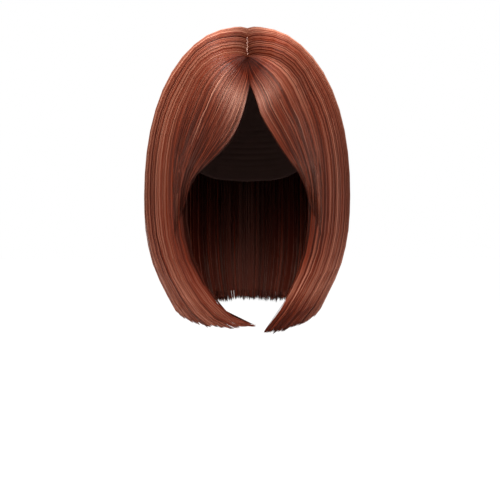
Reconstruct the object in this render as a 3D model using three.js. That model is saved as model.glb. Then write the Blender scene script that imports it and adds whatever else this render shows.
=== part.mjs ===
// Straight bob wig with a centre part and a fringe swept to both sides, in the shape that a head holds it in.
// Millimetres, +Z up, the open face side looks along -Y. Right and left are the wearer's own, so left is +X.
// The origin is the inside of the cap at its top, where the crown of the head seats.
import * as THREE from "three";

const DEGREE = Math.PI / 180;

// Cap: a net dome that fits the head, straight below its widest level and tucked in a little towards the nape
const CAP_HALF_WIDTH = 74;
const CAP_HALF_DEPTH = 94;
const CAP_DOME = 85;
const CAP_WALL = 1.5;
const CAP_PLAN_POWER = 2.2;
const CAP_SECTION_POWER = 2.4;
const CAP_TUCK = 0.08;
const CAP_TUCK_DROP = 65;
const CAP_TUCK_MOST = 1.5;
// The cap's lower edge: bearing is 0 at the forehead and 180 at the nape, drop is measured below the origin
const CAP_RIM = [
  { bearing: 0, drop: 45 },
  { bearing: 30, drop: 50 },
  { bearing: 55, drop: 82 },
  { bearing: 74, drop: 116 },
  { bearing: 92, drop: 101 },
  { bearing: 120, drop: 128 },
  { bearing: 150, drop: 146 },
  { bearing: 180, drop: 150 },
];
const CAP_COLUMNS = 32;
const CAP_ROWS = 10;

// Part strip: the skin-coloured band that shows between the roots along the part
const STRIP_HALF_WIDTH = 4.5;
const STRIP_THICK = 0.8;
const STRIP_FRONT = -87;
const STRIP_BACK = 21;
const STRIP_COLUMNS = 2;
const STRIP_ROWS = 20;

// Hair: how it leaves the part, how thick it lies and where it is widest
const SEAT_GAP = 0.5;
const HAIR_SEAT = 1.1;
const CHORD_SAG = 0.3;
const PART_HALF_GAP = 1.2;
const PART_END_ANGLE = 20;
const ROOT_THICK = 1.5;
const CROWN_LIFT = 5.5;
const PART_DIP = 2.2;
const PART_DIP_REACH = 7;
const CROWN_PRESS = 1.8;
const CROWN_PRESS_REACH = 36;
const WIDEST_DROP = 168;
const HAIR_THICK = 14;
const TIP_THICK = 3.5;
const FACE_EDGE_SHARE = 0.4;
const FACE_EDGE_REACH = 10;
const CURL_POWER = 3;

// Strands of one side from the face round to the back: fall is the bearing where a strand hangs, with -90
// straight ahead, 0 at the ear and 90 straight behind, root is its place along the part, and fullness is how
// square its arc over the crown is
const STRANDS = [
  { fall: -51.6, root: -80, fullness: 2.22 },
  { fall: -36, root: -67, fullness: 2.22 },
  { fall: -15, root: -45, fullness: 2.25 },
  { fall: 10, root: -20, fullness: 2.3 },
  { fall: 35, root: 5, fullness: 2.4 },
  { fall: 62, root: 18, fullness: 2.55 },
  { fall: 90, root: 24, fullness: 2.6 },
];
const FACE_FALL = STRANDS[0].fall;
// Their tips on each side: drop is how far below the origin they end, sweep is how far they turn towards the
// face, and level is how much they flatten out as they turn
const TIPS = {
  right: [
    { fall: -51.6, drop: 299, sweep: 47, level: 0.9 },
    { fall: -36, drop: 302, sweep: 29, level: 0.7 },
    { fall: -15, drop: 296, sweep: 13, level: 0.3 },
    { fall: 10, drop: 286, sweep: 6, level: 0.1 },
    { fall: 35, drop: 281, sweep: 2, level: 0 },
    { fall: 62, drop: 279, sweep: 0, level: 0 },
    { fall: 90, drop: 278, sweep: 0, level: 0 },
  ],
  left: [
    { fall: -51.6, drop: 307, sweep: 22, level: 0.1 },
    { fall: -36, drop: 305, sweep: 19, level: 0.2 },
    { fall: -15, drop: 298, sweep: 12, level: 0.2 },
    { fall: 10, drop: 287, sweep: 6, level: 0.1 },
    { fall: 35, drop: 281, sweep: 2, level: 0 },
    { fall: 62, drop: 279, sweep: 0, level: 0 },
    { fall: 90, drop: 278, sweep: 0, level: 0 },
  ],
};
const BACK_FALL = 35;
const SEAM_HALF_ANGLE = 0.25;

// Outline of the hanging hair, level by level, from its widest level to below its longest tips
const LEVELS = [
  { drop: WIDEST_DROP, halfWidth: 105.5, front: 95.7, back: 112 },
  { drop: 201, halfWidth: 104, front: 95, back: 108.5 },
  { drop: 234, halfWidth: 97.5, front: 90.5, back: 101 },
  { drop: 250, halfWidth: 91.7, front: 86.5, back: 96 },
  { drop: 267, halfWidth: 83.5, front: 81, back: 89.5 },
  { drop: 284, halfWidth: 75, front: 75, back: 82.5 },
  { drop: 300, halfWidth: 62.5, front: 68.5, back: 75 },
  { drop: 312, halfWidth: 51, front: 63, back: 69 },
];
const WIDEST = LEVELS[0];

// Locks: shallow grooves down the outer face, and tips of uneven length
const LOCK_COLUMNS = 3;
const LOCK_GROOVE = 2.4;
const LOCK_TIP_NOTCH = 7;
const LOCK_TIP_STAGGER = 4;
const LOCK_TIP_STEP = 2.4;
const SIDE_LOCKS = 8;
const BACK_LOCKS = 10;
const CROWN_ROWS = 11;
const HANG_ROWS = 8;

// Fringe: its inner edge frames the face, drop by drop, on the right and on the left of the middle
const FACE_EDGE = [
  { drop: 30, right: -0.3, left: 0.9 },
  { drop: 46, right: -0.2, left: 1.4 },
  { drop: 62, right: -0.4, left: 3 },
  { drop: 78, right: 1.8, left: 8 },
  { drop: 94, right: 6.3, left: 13.5 },
  { drop: 109, right: 13, left: 22 },
  { drop: 124.5, right: 23.8, left: 32 },
  { drop: 140, right: 38, left: 43 },
  { drop: 155, right: 55, left: 55 },
  { drop: 166, right: 62, left: 62 },
];
const FRINGE_FALL = -43;
const FRINGE_CLAMP_END = -35;
const FRINGE_ROOT = -86;
const FRINGE_TIP_DROP = 164;
const FRINGE_TIP_LONGER = 24;
const FRINGE_THICK = 5.5;
const FRINGE_TIP_THICK = 2;
const FRINGE_BLEND_POWER = 1.1;
const FRINGE_ROOT_REACH = 0.3;
const FRINGE_TAPER_FROM = 0.6;
const FRINGE_CURL_POWER = 3;
const FRINGE_LOCKS = 5;
const FRINGE_LOCK_COLUMNS = 2;
const FRINGE_GROOVE = 1.3;
const FRINGE_ROWS = 14;
// Clearance from the cap to the hair that lies under the fringe, over the forehead and at the cheek
const UNDER_FRINGE = 5;
const UNDER_FRINGE_REACH = 30;
const FRINGE_GAP = 0.95;
const UNDER_FRINGE_CHEEK = 15.7;
const CHEEK_FROM_DROP = 105;
const CHEEK_TO_DROP = 158;

const HAIR_COLOUR = 0x7b3626;
const FRINGE_COLOUR = 0x6f2d22;
const CAP_COLOUR = 0x2a1613;
const STRIP_COLOUR = 0xd9a58c;

const clamp01 = (x) => THREE.MathUtils.clamp(x, 0, 1);
const lerp = THREE.MathUtils.lerp;
const ease = (x, from, to) => {
  const share = clamp01((x - from) / (to - from));
  return share * share * (3 - 2 * share);
};
const signedPower = (x, power) => Math.sign(x) * Math.abs(x) ** power;

// A quarter of a superellipse of unit size, from straight up at turn 0 to straight out at turn 1
function quarterArc(power, turn) {
  const along = Math.sin(turn * 90 * DEGREE);
  const rise = Math.cos(turn * 90 * DEGREE);
  const size = (along ** power + Math.abs(rise) ** power) ** (1 / power);
  return { out: along / size, up: rise / size };
}

// A smooth curve through one column of a table, read against another column
function columnCurve(rows, against, value) {
  const interpolant = new THREE.CubicInterpolant(
    rows.map((row) => row[against]),
    rows.map((row) => row[value]),
    1,
  );
  return (x) => interpolant.evaluate(x)[0];
}

const rimDrop = columnCurve(CAP_RIM, "bearing", "drop");
const strandRoot = columnCurve(STRANDS, "fall", "root");
const strandFullness = columnCurve(STRANDS, "fall", "fullness");
const tipCurves = (side) => ({
  drop: columnCurve(TIPS[side], "fall", "drop"),
  sweep: columnCurve(TIPS[side], "fall", "sweep"),
  level: columnCurve(TIPS[side], "fall", "level"),
});
const tips = { right: tipCurves("right"), left: tipCurves("left") };
const levelHalfWidth = columnCurve(LEVELS, "drop", "halfWidth");
const levelFront = columnCurve(LEVELS, "drop", "front");
const levelBack = columnCurve(LEVELS, "drop", "back");
const faceEdge = {
  right: columnCurve(FACE_EDGE, "drop", "right"),
  left: columnCurve(FACE_EDGE, "drop", "left"),
};
const sideSign = { right: -1, left: 1 };

// Share of its depth that the cap keeps at a point: the back half tucks in below the widest level
function tuckAt(y, z) {
  const below = Math.max(0, -CAP_DOME - z) / CAP_TUCK_DROP;
  return y > 0 ? 1 - CAP_TUCK * Math.min(below, CAP_TUCK_MOST) ** 2 : 1;
}

// A point of the cap's outer face grown by grow: bearing counts from the forehead, and turn from 0 at the top
// to 1 at the widest level
function capPoint(bearing, turn, grow) {
  const { out, up } = quarterArc(CAP_SECTION_POWER, Math.min(turn, 1));
  const outer = CAP_WALL + grow;
  const z = (CAP_DOME + outer) * up - CAP_DOME - Math.max(0, turn - 1) * CAP_DOME;
  const x = (CAP_HALF_WIDTH + outer) * signedPower(Math.sin(bearing * DEGREE), 2 / CAP_PLAN_POWER);
  const y = -(CAP_HALF_DEPTH + outer) * signedPower(Math.cos(bearing * DEGREE), 2 / CAP_PLAN_POWER);
  return new THREE.Vector3(x * out, y * out * tuckAt(y, z), z);
}

// The turn of capPoint at which the cap reaches a drop below the origin
function turnAtDrop(drop) {
  if (drop > CAP_DOME) return 1 + (drop - CAP_DOME) / CAP_DOME;
  const up = (CAP_DOME - drop) / (CAP_DOME + CAP_WALL);
  const out = (1 - up ** CAP_SECTION_POWER) ** (1 / CAP_SECTION_POWER);
  return Math.atan2(out, up) / (90 * DEGREE);
}

// Moves a point along its ray from the cap's middle to the cap's outer face grown by grow.
// keep "outside" moves only points that lie inside that face, keep "inside" only those outside it.
function settle(point, grow, keep = "on", weight = 1) {
  const outer = CAP_WALL + grow;
  const halfDepth = (CAP_HALF_DEPTH + outer) * tuckAt(point.y, point.z);
  const across = Math.abs(point.x / (CAP_HALF_WIDTH + outer)) ** CAP_PLAN_POWER;
  const ahead = Math.abs(point.y / halfDepth) ** CAP_PLAN_POWER;
  const rise = Math.max(0, point.z + CAP_DOME) / (CAP_DOME + outer);
  const reach =
    ((across + ahead) ** (CAP_SECTION_POWER / CAP_PLAN_POWER) + rise ** CAP_SECTION_POWER) **
    (1 / CAP_SECTION_POWER);
  if ((keep === "outside" && reach >= 1) || (keep === "inside" && reach <= 1)) return point;
  const middle = new THREE.Vector3(0, 0, Math.min(point.z, -CAP_DOME));
  return point.clone().sub(middle).multiplyScalar(lerp(1, 1 / reach, weight)).add(middle);
}

// Moves a point towards the cap's middle by a distance
function inward(point, distance) {
  const middle = new THREE.Vector3(0, 0, Math.min(point.z, -CAP_DOME));
  const ray = middle.sub(point);
  return point.clone().addScaledVector(ray, Math.min(1, distance / ray.length()));
}

// Height of the cap's outer face along the part
const partHeight = (y) =>
  (CAP_DOME + CAP_WALL) *
    (1 - Math.abs(y / (CAP_HALF_DEPTH + CAP_WALL)) ** CAP_SECTION_POWER) ** (1 / CAP_SECTION_POWER) -
  CAP_DOME;

const STRIP_SEAT = SEAT_GAP + STRIP_THICK;
const ROOT_SEAT = STRIP_SEAT + SEAT_GAP;

// Clearance from the cap to the inner face of the hair, which passes over the part strip
const hairSeat = (point) =>
  lerp(ROOT_SEAT + CHORD_SAG, HAIR_SEAT, ease(Math.abs(point.x), STRIP_HALF_WIDTH * 2, STRIP_HALF_WIDTH * 5));

// Clearance from the cap to the outer face of the thinnest hair, at a point over the crown
const leastClearance = (point) =>
  lerp(ROOT_SEAT + ROOT_THICK, UNDER_FRINGE, ease(Math.abs(point.x), 0, UNDER_FRINGE_REACH));

// Clearance from the cap that the hair under the fringe keeps to at a point
const underFringe = (point) =>
  lerp(leastClearance(point), UNDER_FRINGE_CHEEK, ease(-point.z, CHEEK_FROM_DROP, CHEEK_TO_DROP));

// Outer face over the crown: a quarter of a superellipse from the root at the part to the widest level
function crownArc(fall, turn) {
  const { out, up } = quarterArc(strandFullness(fall), turn);
  const rootY = strandRoot(fall);
  const rootX = PART_HALF_GAP * ease(90 - fall, 0, PART_END_ANGLE);
  const endDepth = fall < 0 ? WIDEST.front : WIDEST.back;
  const endX = WIDEST.halfWidth * Math.cos(fall * DEGREE);
  const endY = endDepth * Math.sin(fall * DEGREE);
  return new THREE.Vector3(
    lerp(rootX, endX, out),
    lerp(rootY, endY, out),
    lerp(-WIDEST_DROP, partHeight(rootY) + CROWN_LIFT, up),
  );
}

function crownPoint(fall, turn) {
  const point = crownArc(fall, turn);
  const fromRoot = Math.hypot(point.x, point.y - strandRoot(fall));
  point.z -= PART_DIP * Math.exp(-((fromRoot / PART_DIP_REACH) ** 2));
  point.z -= CROWN_PRESS * Math.exp(-((fromRoot / CROWN_PRESS_REACH) ** 2));
  const clear = settle(point, leastClearance(point), "outside");
  const covered = 1 - ease(fall, FRINGE_FALL + 1, FRINGE_CLAMP_END);
  return settle(clear, underFringe(clear), "inside", covered);
}

// Outer face below the widest level: it follows the levels' outline while the tips turn towards the face
function hangingPoint(side, fall, share, shorter) {
  const tip = tips[side];
  const fallen = share + tip.level(fall) * share ** 2 * (1 - share);
  const drop = lerp(WIDEST_DROP, tip.drop(fall) - shorter, fallen);
  const bearing = (fall - tip.sweep(fall) * share ** CURL_POWER) * DEGREE;
  const depth = bearing < 0 ? levelFront(drop) : levelBack(drop);
  return new THREE.Vector3(levelHalfWidth(drop) * Math.cos(bearing), depth * Math.sin(bearing), -drop);
}

// A closed solid between two sheets of points, each with columns + 1 by rows + 1 of them, facing out
function slab(columns, rows, outerAt, innerAt) {
  const sheet = (columns + 1) * (rows + 1);
  const points = [];
  for (const at of [outerAt, innerAt])
    for (let row = 0; row <= rows; row++)
      for (let column = 0; column <= columns; column++) points.push(at(column, row));
  const id = (column, row, layer) => layer * sheet + row * (columns + 1) + column;
  const faces = [];
  const quad = (a, b, c, d) => faces.push(a, b, c, a, c, d);
  for (let row = 0; row < rows; row++)
    for (let column = 0; column < columns; column++)
      for (const layer of [0, 1]) {
        const corners = [
          id(column, row, layer),
          id(column + 1, row, layer),
          id(column + 1, row + 1, layer),
          id(column, row + 1, layer),
        ];
        quad(...(layer ? corners.reverse() : corners));
      }
  const edge = [];
  for (let column = 0; column < columns; column++) edge.push([column, 0]);
  for (let row = 0; row < rows; row++) edge.push([columns, row]);
  for (let column = columns; column > 0; column--) edge.push([column, rows]);
  for (let row = rows; row > 0; row--) edge.push([0, row]);
  edge.forEach((here, i) => {
    const next = edge[(i + 1) % edge.length];
    quad(id(...next, 0), id(...here, 0), id(...here, 1), id(...next, 1));
  });
  return facingOut(points, faces);
}

// Geometry of a closed surface, turned round if its faces point in
function facingOut(points, faces) {
  let volume = 0;
  for (let i = 0; i < faces.length; i += 3) {
    const [a, b, c] = faces.slice(i, i + 3).map((n) => points[n]);
    volume += a.dot(new THREE.Vector3().crossVectors(b, c));
  }
  const geometry = new THREE.BufferGeometry().setFromPoints(points);
  geometry.setIndex(volume < 0 ? faces.slice().reverse() : faces);
  geometry.computeVertexNormals();
  return geometry;
}

// The cap: an outer and an inner dome, each a fan round its top point, joined along the rim
function capGeometry() {
  const points = [];
  const faces = [];
  const rings = [];
  for (const grow of [0, -CAP_WALL]) {
    const top = points.push(capPoint(0, 0, grow)) - 1;
    const ring = (row) =>
      Array.from({ length: CAP_COLUMNS }, (_, column) => {
        const bearing = (360 * column) / CAP_COLUMNS;
        const end = turnAtDrop(rimDrop(Math.min(bearing, 360 - bearing)));
        return points.push(capPoint(bearing, (end * row) / CAP_ROWS, grow)) - 1;
      });
    const layer = Array.from({ length: CAP_ROWS }, (_, row) => ring(row + 1));
    const inside = grow < 0;
    layer[0].forEach((a, i) => {
      const b = layer[0][(i + 1) % CAP_COLUMNS];
      faces.push(...(inside ? [top, b, a] : [top, a, b]));
    });
    for (let row = 1; row < CAP_ROWS; row++)
      bridge(faces, inside ? layer[row] : layer[row - 1], inside ? layer[row - 1] : layer[row]);
    rings.push(layer[CAP_ROWS - 1]);
  }
  bridge(faces, rings[0], rings[1]);
  return facingOut(points, faces);
}

// Two triangles for each step between two closed rings of points
function bridge(faces, upper, lower) {
  upper.forEach((a, i) => {
    const next = (i + 1) % upper.length;
    faces.push(a, lower[i], lower[next], a, lower[next], upper[next]);
  });
}

// The part strip: a thin band on the cap, from the forehead to behind the crown
function stripGeometry() {
  const at = (grow) => (column, row) => {
    const x = lerp(-STRIP_HALF_WIDTH, STRIP_HALF_WIDTH, column / STRIP_COLUMNS);
    const y = lerp(STRIP_FRONT, STRIP_BACK, row / STRIP_ROWS);
    return settle(new THREE.Vector3(x, y, partHeight(y)), grow);
  };
  return slab(STRIP_COLUMNS, STRIP_ROWS, at(STRIP_SEAT), at(SEAT_GAP));
}

// Uneven but repeatable length of a lock's tip, from -1 to 1
const lockUnevenness = (lock) => Math.sin(lock * LOCK_TIP_STEP);

// A panel of long hair. placeOf gives the side and fall of a column.
function panelGeometry(locks, placeOf) {
  const columns = locks * LOCK_COLUMNS;
  const rows = CROWN_ROWS + HANG_ROWS;
  const groovedAt = (column) => column % LOCK_COLUMNS === 0;
  const shorterAt = (column) =>
    groovedAt(column)
      ? LOCK_TIP_NOTCH
      : LOCK_TIP_STAGGER * lockUnevenness(Math.floor(column / LOCK_COLUMNS));
  const formAt = (column, row) => {
    const { side, fall } = placeOf(column / columns);
    const point =
      row <= CROWN_ROWS
        ? crownPoint(fall, row / CROWN_ROWS)
        : hangingPoint(side, fall, (row - CROWN_ROWS) / HANG_ROWS, shorterAt(column));
    point.x *= sideSign[side];
    return point;
  };
  const outerAt = (column, row) => {
    const point = formAt(column, row);
    const depth = groovedAt(column) ? LOCK_GROOVE * ease(row, 1, CROWN_ROWS) : 0;
    const grooved = inward(point, depth);
    return row < CROWN_ROWS ? settle(grooved, ROOT_SEAT + ROOT_THICK, "outside") : grooved;
  };
  const innerAt = (column, row) => {
    const { fall } = placeOf(column / columns);
    const point = formAt(column, row);
    const toTip = ease(row, CROWN_ROWS, rows);
    const edge = lerp(FACE_EDGE_SHARE, 1, ease(fall, FACE_FALL, FACE_FALL + FACE_EDGE_REACH));
    const thick = lerp(HAIR_THICK, TIP_THICK + LOCK_GROOVE, toTip) * lerp(1, edge, row / rows);
    const inner = inward(point, row ? thick : ROOT_THICK);
    return row < CROWN_ROWS ? settle(inner, row ? hairSeat(point) : ROOT_SEAT, "outside") : inner;
  };
  return slab(columns, rows, outerAt, innerAt);
}

function sideGeometry(side) {
  return panelGeometry(SIDE_LOCKS, (share) => ({
    side,
    fall: lerp(FACE_FALL, BACK_FALL - SEAM_HALF_ANGLE, share),
  }));
}

function backGeometry() {
  const reach = 90 - BACK_FALL - SEAM_HALF_ANGLE;
  return panelGeometry(BACK_LOCKS, (share) => ({
    side: share < 0.5 ? "right" : "left",
    fall: 90 - reach * Math.abs(2 * share - 1),
  }));
}

// The fringe: strands fan from the front of the part, between the face edge and the strand at FRINGE_FALL
function fringeGeometry(side) {
  const columns = FRINGE_LOCKS * FRINGE_LOCK_COLUMNS;
  const sign = sideSign[side];
  const groovedAt = (column) => column % FRINGE_LOCK_COLUMNS === 0 && column > 0;
  const pathAt = (column, row) => {
    const across = (column / columns) ** FRINGE_BLEND_POWER;
    const along = row / FRINGE_ROWS;
    const notch = groovedAt(column) ? 0 : LOCK_TIP_STAGGER;
    const rootDrop = -partHeight(FRINGE_ROOT);
    const drop = lerp(rootDrop, FRINGE_TIP_DROP, along);
    const edgeX = faceEdge[side](drop);
    const point = settle(new THREE.Vector3(edgeX, -CAP_HALF_DEPTH, -drop), 0);
    point.lerp(crownArc(FRINGE_FALL, along), across);
    point.z -= (FRINGE_TIP_LONGER * across + notch) * along ** FRINGE_CURL_POWER;
    return point;
  };
  const layerAt = (outer) => (column, row) => {
    const along = row / FRINGE_ROWS;
    const path = pathAt(column, row);
    const base = underFringe(path) + FRINGE_GAP;
    const full = lerp(ROOT_THICK, FRINGE_THICK, ease(along, 0, FRINGE_ROOT_REACH));
    const thick = lerp(full, FRINGE_TIP_THICK, ease(along, FRINGE_TAPER_FROM, 1));
    const groove = groovedAt(column) ? FRINGE_GROOVE * ease(along, 0, FRINGE_ROOT_REACH) : 0;
    const point = settle(path, base + (outer ? thick - groove : 0));
    point.x *= sign;
    return point;
  };
  return slab(columns, FRINGE_ROWS, layerAt(true), layerAt(false));
}

function hairMaterial(color) {
  return new THREE.MeshStandardMaterial({ color, roughness: 0.42, metalness: 0 });
}

function named(name, geometry, material) {
  const mesh = new THREE.Mesh(geometry, material);
  mesh.name = name;
  return mesh;
}

function foundation() {
  const group = new THREE.Group();
  const net = new THREE.MeshStandardMaterial({ color: CAP_COLOUR, roughness: 0.9, metalness: 0 });
  const skin = new THREE.MeshStandardMaterial({ color: STRIP_COLOUR, roughness: 0.7, metalness: 0 });
  group.add(named("cap", capGeometry(), net));
  group.add(named("part_strip", stripGeometry(), skin));
  return group;
}

function hair() {
  const group = new THREE.Group();
  for (const side of ["right", "left"]) {
    group.add(named(`fringe_${side}`, fringeGeometry(side), hairMaterial(FRINGE_COLOUR)));
    group.add(named(`side_${side}`, sideGeometry(side), hairMaterial(HAIR_COLOUR)));
  }
  group.add(named("back", backGeometry(), hairMaterial(HAIR_COLOUR)));
  return group;
}

const wig = new THREE.Group();
wig.name = "bob_wig";
wig.add(foundation(), hair());

export default wig;
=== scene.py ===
"""Straight bob wig with a centre part: strands of hair on a net cap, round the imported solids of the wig.

The tables and strand arrays are in millimetres, and every mesh is made in metres in the frame of the solids:
+Z up, the open face side looks along -Y, right and left are the wearer's own, so left is +X.
The origin is the inside of the cap at its top.
"""

import math
from functools import partial

import bpy
import numpy as np
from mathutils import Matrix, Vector


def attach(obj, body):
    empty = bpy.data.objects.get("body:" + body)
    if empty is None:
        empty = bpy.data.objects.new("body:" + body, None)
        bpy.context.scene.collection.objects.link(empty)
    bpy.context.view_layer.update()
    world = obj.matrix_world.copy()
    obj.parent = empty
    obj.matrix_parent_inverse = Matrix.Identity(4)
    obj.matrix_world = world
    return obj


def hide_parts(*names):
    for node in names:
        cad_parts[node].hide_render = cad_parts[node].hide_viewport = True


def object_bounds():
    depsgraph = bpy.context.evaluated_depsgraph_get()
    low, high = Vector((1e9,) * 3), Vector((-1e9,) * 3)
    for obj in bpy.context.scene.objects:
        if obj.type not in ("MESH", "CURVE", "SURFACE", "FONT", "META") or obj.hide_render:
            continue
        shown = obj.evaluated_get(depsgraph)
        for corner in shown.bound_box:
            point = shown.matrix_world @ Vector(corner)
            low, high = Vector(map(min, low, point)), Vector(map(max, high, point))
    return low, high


bl_info = {
    "name": "Straight bob wig",
    "version": (1, 0, 0),
    "blender": (4, 5, 0),
    "location": "3D View > Sidebar > Wig",
    "description": "Makes the hair, the net cap and the part strip of a straight bob wig",
    "category": "Add Mesh",
}

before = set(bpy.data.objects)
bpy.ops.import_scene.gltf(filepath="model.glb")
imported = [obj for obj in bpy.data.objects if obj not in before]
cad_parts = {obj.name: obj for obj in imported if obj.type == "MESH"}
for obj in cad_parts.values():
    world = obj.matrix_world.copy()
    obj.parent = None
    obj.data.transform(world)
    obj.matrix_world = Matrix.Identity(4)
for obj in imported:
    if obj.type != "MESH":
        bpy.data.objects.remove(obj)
CAD_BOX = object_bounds()

MM = 0.001
DEGREE = math.pi / 180
SIDE_SIGN = {"right": -1, "left": 1}
# Least value that anything is divided by
TINY = 1e-9
CLEARANCE_ROUNDS = 5

# Cap: a net dome that fits the head, straight below its widest level and tucked in a little towards the nape
CAP_HALF_WIDTH = 74
CAP_HALF_DEPTH = 94
CAP_DOME = 85
CAP_WALL = 1.5
CAP_PLAN_POWER = 2.2
CAP_SECTION_POWER = 2.4
CAP_TUCK = 0.08
CAP_TUCK_DROP = 65
CAP_TUCK_MOST = 1.5
# The cap's lower edge: bearing is 0 at the forehead and 180 at the nape, drop is measured below the origin
CAP_RIM = {
    "bearing": (0, 30, 55, 74, 92, 120, 150, 180),
    "drop": (45, 50, 82, 116, 101, 128, 146, 150),
}
CAP_COLUMNS = 144
CAP_ROWS = 72
BAND_THICK = 0.35
BAND_STEP_FROM = 0.85
WEFT_WIDTH = 0.13
CAP_MAP_HEIGHT = 200

# Part strip: the skin-coloured band that shows between the roots along the part
STRIP_HALF_WIDTH = 4.5
STRIP_THICK = 0.8
STRIP_FRONT = -87
STRIP_BACK = 21
STRIP_COLUMNS = 8
STRIP_ROWS = 80

# Hair: how it leaves the part, how thick it lies and where it is widest
SEAT_GAP = 0.5
STRIP_SEAT = SEAT_GAP + STRIP_THICK
ROOT_SEAT = STRIP_SEAT + SEAT_GAP
HAIR_SEAT = 1.1
SEAT_LOWERS = (9, 22.5)
HAIR_LEAVES_CAP = 0.8
PART_HALF_GAP = 0.2
PART_CLOSES = (-66, -56)
PART_ZIGZAG = 0.55
PART_WAVE = 1.05
PART_RIPPLE = 2.3
PART_RIPPLE_SHARE = 0.6
PART_CROSS = 0.25
ROOT_THICK = 1.5
ROOT_REACH = 0.02
CROWN_LIFT = 5.5
PART_DIP = 2.2
PART_DIP_REACH = 7
CROWN_PRESS = 1.8
CROWN_PRESS_REACH = 36
CROWN_CLEARANCE = 3.0
WIDEST_DROP = 168
HAIR_THICK = 14
TIP_THICK = 5.9
FACE_EDGE_SHARE = 0.4
FACE_EDGE_REACH = 10
CURL_POWER = 3
CROWN_SHARE = 0.58

# Strands of one side from the face round to the back: fall is the bearing where a strand hangs, with -90
# straight ahead, 0 at the ear and 90 straight behind, root is its place along the part, fullness is how
# square its arc over the crown is, and tone is how light it is, highest near the ear as painted side light
STRANDS = {
    "fall": (-51.6, -36, -15, 10, 35, 62, 90),
    "root": (-88, -81, -58, -25, 4, 18, 24),
    "fullness": (2.22, 2.22, 2.25, 2.3, 2.4, 2.55, 2.6),
    "tone": (0.47, 0.44, 0.56, 0.7, 0.48, 0.44, 0.42),
}
# Their tips on each side: drop is how far below the origin they end, sweep is how far they turn towards the
# face, level is how much they flatten out as they turn, tone is how much lighter the hair is above its ends,
# as painted light on the lower locks, and dark is how much darker the ends are than that, as painted shade
# where the ends turn in
TIPS = {
    "right": {
        "fall": STRANDS["fall"],
        "drop": (299, 302, 296, 286, 281, 279, 278),
        "sweep": (47, 29, 13, 6, 2, 0, 0),
        "level": (0.9, 0.7, 0.3, 0.1, 0, 0, 0),
        "tone": (0.1, 0.17, 0.2, 0.18, 0.1, 0, 0),
        "dark": (0.1, 0.1, 0.04, 0, 0, 0, 0),
    },
    "left": {
        "fall": STRANDS["fall"],
        "drop": (307, 305, 298, 287, 281, 279, 278),
        "sweep": (22, 19, 12, 6, 2, 0, 0),
        "level": (0.1, 0.2, 0.2, 0.1, 0, 0, 0),
        "tone": (0.18, 0.22, 0.24, 0.24, 0.1, 0, 0),
        "dark": (0.46, 0.4, 0.2, 0.04, 0, 0, 0),
    },
}
FACE_FALL = STRANDS["fall"][0]
BACK_FALL = 35
# Panels of long hair: the seed of their strands, and the bearings that their strands and dark layers cover
PANELS = {
    "side": {"seed": 1, "strands": (FACE_FALL, BACK_FALL), "shell": (FACE_FALL + 3, BACK_FALL - 0.5)},
    "back": {"seed": 2, "strands": (BACK_FALL, 90), "shell": (BACK_FALL + 0.5, 89.9)},
}
FRINGE_SEED = 3

# Outline of the hanging hair, level by level, from its widest level to below its longest tips
LEVELS = {
    "drop": (WIDEST_DROP, 201, 234, 250, 267, 284, 300, 312),
    "half_width": (105.5, 104, 97.5, 91.7, 83.5, 75, 62.5, 51),
    "front": (95.7, 95, 90.5, 86.5, 81, 75, 68.5, 63),
    "back": (112, 108.5, 101, 96, 89.5, 82.5, 75, 69),
}

# Fringe: its inner edge frames the face, drop by drop, on the right and on the left of the middle
FACE_EDGE = {
    "drop": (30, 46, 62, 78, 94, 109, 124.5, 140, 155, 166),
    "right": (-1.0, -1.5, -2.2, 0.8, 4.7, 10, 19.3, 35, 55, 62),
    "left": (0.2, 0.0, 2.0, 7.8, 12.3, 20.3, 29.3, 40.5, 55.5, 63),
}
FRINGE_FALL = -43
FRINGE_COVERS = (-46, -43.5)
FRINGE_ROOT = -84
FRINGE_ROOT_SINK = 0.8
FRINGE_ROOT_SINK_REACH = 0.04
FRINGE_TIP_DROP = 164
FRINGE_TIP_LONGER = 24
FRINGE_THICK = 5.5
FRINGE_TIP_THICK = 0.8
FRINGE_BLEND_POWER = 1.1
FRINGE_LEVEL_FROM = 0.35
FRINGE_ROOT_REACH = 0.6
FRINGE_SWELL = 6
FRINGE_SWELL_POWER = 1.5
FRINGE_TUCK = 1.2
FRINGE_TUCK_FROM = 0.75
FRINGE_TIP_SINK = 2.2
FRINGE_SINK_FROM = 0.82
FRINGE_TAPER_FROM = 0.6
FRINGE_CURL_POWER = 3
FEATHER_SPANS = ((0, 0.35), (0.4, 0.8))
FEATHER_RANGE = (-1.1, 0.9)
FRINGE_GROOVE = 0.4
FRINGE_WANDER = 0.005
FRINGE_WANDER_WAVES = 1.3
# Tone of the fringe: lighter towards the long hair; darker inside, as painted shade; darker at the roots
# beside the face, from darker roots and painted shade where the fringe leaves the part; and darker low down,
# as painted shade where it turns downwards
FRINGE_TONE = 0.41
FRINGE_STREAK = 0.15
FRINGE_OUTER_LIGHT = 0.1
FRINGE_INNER_SHADE = 0.1
FRINGE_DARK_ACROSS = (0.4, 1)
FRINGE_DARK_ENDS = (0.1, 0.35)
FRINGE_LOWER_SHADE = 0.2
FRINGE_LOWER_SHADE_SPAN = (0.4, 0.8)
# The fringe's length as a share of the long hair's, by which the two shade alike from their roots
FRINGE_LENGTH = 0.5
# Clearance from the cap to the hair that lies under the fringe, over the forehead and at the cheek
UNDER_FRINGE = 5
UNDER_FRINGE_REACH = 30
FRINGE_GAP = 0.3
UNDER_FRINGE_CHEEK = 13.4
CHEEK_DROPS = (105, 158)

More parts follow.
